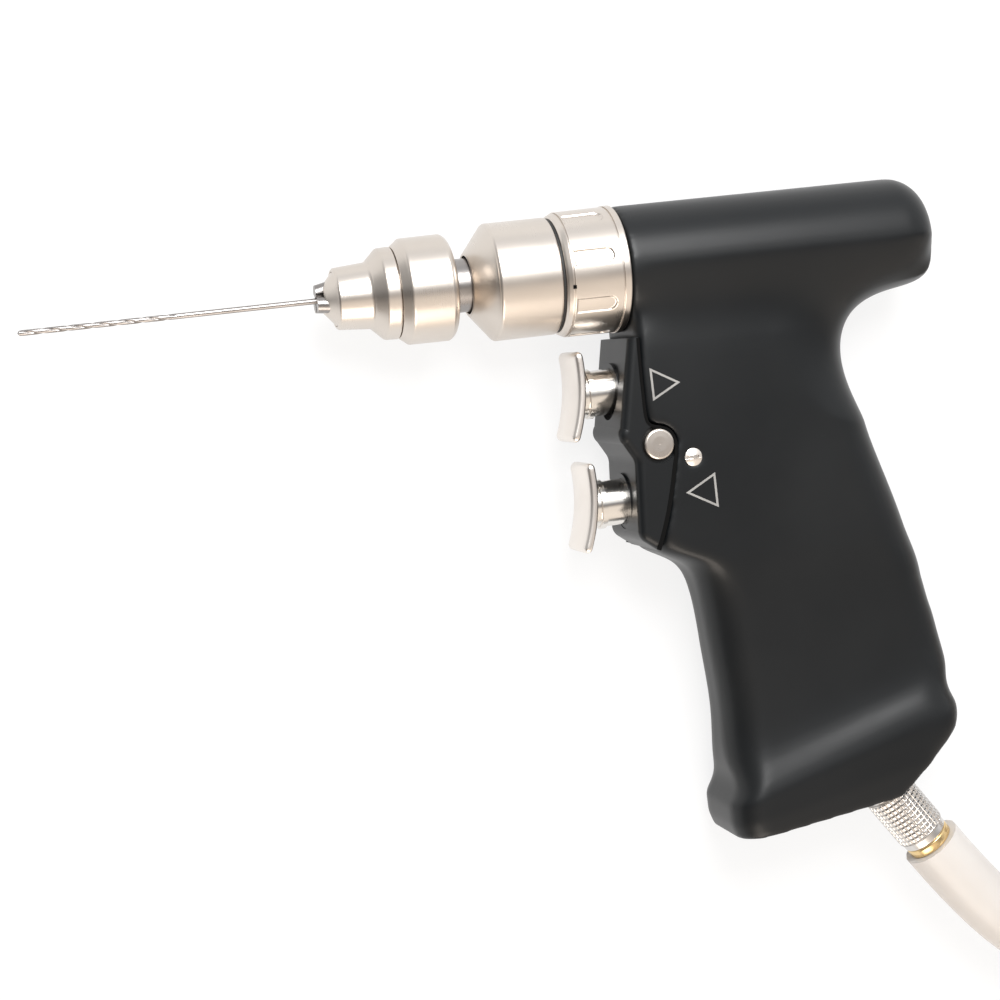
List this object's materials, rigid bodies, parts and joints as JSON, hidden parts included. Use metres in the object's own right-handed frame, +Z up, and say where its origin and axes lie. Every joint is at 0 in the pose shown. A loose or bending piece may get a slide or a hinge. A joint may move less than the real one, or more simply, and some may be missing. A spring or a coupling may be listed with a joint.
{
  "type": "surgical bone drill handpiece",
  "caption": "Pistol-grip air-driven surgical drill with a keyless chuck and twist drill, a turning locking ring, finger triggers, a side button and an air hose on a knurled coupling",
  "frame": {"origin": "middle of the bounding box without the hose, on the plane it lies on: the drill lies on its side, on the foot of its grip and the rim of its locking ring", "axes": "the barrel and the drill bit lie along X, with the bit pointing to -X and the hose leaving to +X; +Y points from the grip's foot up to the barrel; +Z is up, across the grip"},
  "size_m": [0.5303, 0.262, 0.0341],
  "materials": {
    "black_coating": "hard black satin coating",
    "satin_steel": "satin",
    "bright_steel": "polished",
    "hard_steel": "ground",
    "spring_steel": "drawn wire",
    "brass": "turned",
    "aluminium": "turned",
    "black_rubber": "moulded",
    "vane_resin": "laminate",
    "hose_silicone": "smooth pale grey",
    "filter_bronze": "sintered"
  },
  "bodies": {
    "handpiece": {"housing": "black_coating", "trigger_block": "black_coating", "upper_bush": "brass", "lower_bush": "brass", "upper_valve_sleeve": "aluminium", "lower_valve_sleeve": "aluminium", "upper_trigger_spring": "spring_steel", "lower_trigger_spring": "spring_steel", "button_spring": "spring_steel", "grip_screw": "satin_steel", "front_socket": "satin_steel", "lock_balls": "hard_steel", "ring_gear": "hard_steel", "spindle_bearing_outer": "hard_steel", "collar_bearing_outer": "hard_steel", "rotor_bearing_outer": "hard_steel", "motor_front_plate": "hard_steel", "motor_cylinder": "hard_steel", "motor_rear_plate": "hard_steel", "wave_spring": "spring_steel", "coupling_collar": "satin_steel", "seal_ring": "black_rubber", "hose_coupling": "satin_steel", "hose_ferrule": "brass", "inlet_nipple": "satin_steel", "inlet_seal": "black_rubber", "inlet_filter": "filter_bronze", "air_hose": "hose_silicone", "air_hose_coil": "hose_silicone", "hose_connector": "aluminium"},
    "chuck": {"chuck_body": "satin_steel", "rear_sleeve": "satin_steel", "drive_shaft": "satin_steel", "drill_bit": "hard_steel", "collar_bearing_inner": "hard_steel", "output_shaft": "hard_steel", "planet_pins": "hard_steel", "spindle_bearing_inner": "hard_steel"},
    "chuck_sleeve": {"tightening_sleeve": "satin_steel", "jaw_nut": "hard_steel"},
    "jaw_1": {"chuck_jaw_1": "bright_steel"},
    "jaw_2": {"chuck_jaw_2": "bright_steel"},
    "jaw_3": {"chuck_jaw_3": "bright_steel"},
    "planet_1": {"planet_gear_1": "hard_steel"},
    "planet_2": {"planet_gear_2": "hard_steel"},
    "planet_3": {"planet_gear_3": "hard_steel"},
    "motor_rotor": {"rotor": "hard_steel", "rotor_vanes": "vane_resin", "sun_pinion": "hard_steel", "rotor_bearing_inner": "hard_steel"},
    "lock_ring": {"locking_ring": "satin_steel"},
    "upper_trigger": {"upper_finger_pad": "satin_steel", "upper_trigger_stem": "satin_steel"},
    "lower_trigger": {"lower_finger_pad": "satin_steel", "lower_trigger_stem": "satin_steel"},
    "side_button": {"lock_button": "bright_steel"}
  },
  "joints": [
    {"name": "spindle_spin", "type": "hinge", "parent": "handpiece", "child": "chuck", "pos_m": [0, 0.07722, 0.01685], "axis": [1, 0, 0], "continuous": true},
    {"name": "rotor_spin", "type": "hinge", "parent": "handpiece", "child": "motor_rotor", "pos_m": [0.07, 0.07722, 0.01685], "axis": [1, 0, 0], "continuous": true},
    {"name": "planet_1_spin", "type": "hinge", "parent": "chuck", "child": "planet_1", "pos_m": [0.0495, 0.08442, 0.01685], "axis": [1, 0, 0], "continuous": true},
    {"name": "planet_2_spin", "type": "hinge", "parent": "chuck", "child": "planet_2", "pos_m": [0.0495, 0.07362, 0.02309], "axis": [1, 0, 0], "continuous": true},
    {"name": "planet_3_spin", "type": "hinge", "parent": "chuck", "child": "planet_3", "pos_m": [0.0495, 0.07362, 0.01061], "axis": [1, 0, 0], "continuous": true},
    {"name": "sleeve_turn", "type": "hinge", "parent": "chuck", "child": "chuck_sleeve", "pos_m": [-0.033, 0.07722, 0.01685], "axis": [1, 0, 0], "range_deg": [0, 1666]},
    {"name": "jaw_1_slide", "type": "slide", "parent": "chuck", "child": "jaw_1", "axis": [0.9781, 0.2079, 0], "range_m": [0, 0.006]},
    {"name": "jaw_2_slide", "type": "slide", "parent": "chuck", "child": "jaw_2", "axis": [0.9781, -0.104, 0.1801], "range_m": [0, 0.006]},
    {"name": "jaw_3_slide", "type": "slide", "parent": "chuck", "child": "jaw_3", "axis": [0.9781, -0.104, -0.1801], "range_m": [0, 0.006]},
    {"name": "locking_ring_turn", "type": "hinge", "parent": "handpiece", "child": "lock_ring", "pos_m": [0.025, 0.07722, 0.01685], "axis": [1, 0, 0], "range_deg": [0, 30], "stiffness_Nm_per_rad": 0.15, "springref_deg": -17.19},
    {"name": "upper_trigger_press", "type": "slide", "parent": "handpiece", "child": "upper_trigger", "axis": [1, 0, 0], "range_m": [0, 0.0045], "stiffness_N_per_m": 900, "springref_m": -0.003, "deforming": ["upper_trigger_spring"]},
    {"name": "lower_trigger_press", "type": "slide", "parent": "handpiece", "child": "lower_trigger", "axis": [1, 0, 0], "range_m": [0, 0.0045], "stiffness_N_per_m": 900, "springref_m": -0.003, "deforming": ["lower_trigger_spring"]},
    {"name": "side_button_press", "type": "slide", "parent": "handpiece", "child": "side_button", "axis": [0, 0, -1], "range_m": [0, 0.002], "stiffness_N_per_m": 700, "springref_m": -0.002, "deforming": ["button_spring"]}
  ],
  "couplings": [
    {"joint": "rotor_spin", "follows": "spindle_spin", "ratio": 4},
    {"joint": "planet_1_spin", "follows": "spindle_spin", "ratio": -3},
    {"joint": "planet_2_spin", "follows": "spindle_spin", "ratio": -3},
    {"joint": "planet_3_spin", "follows": "spindle_spin", "ratio": -3},
    {"joint": "jaw_1_slide", "follows": "sleeve_turn", "m_per_rad": 0.00020626},
    {"joint": "jaw_2_slide", "follows": "sleeve_turn", "m_per_rad": 0.00020626},
    {"joint": "jaw_3_slide", "follows": "sleeve_turn", "m_per_rad": 0.00020626}
  ]
}
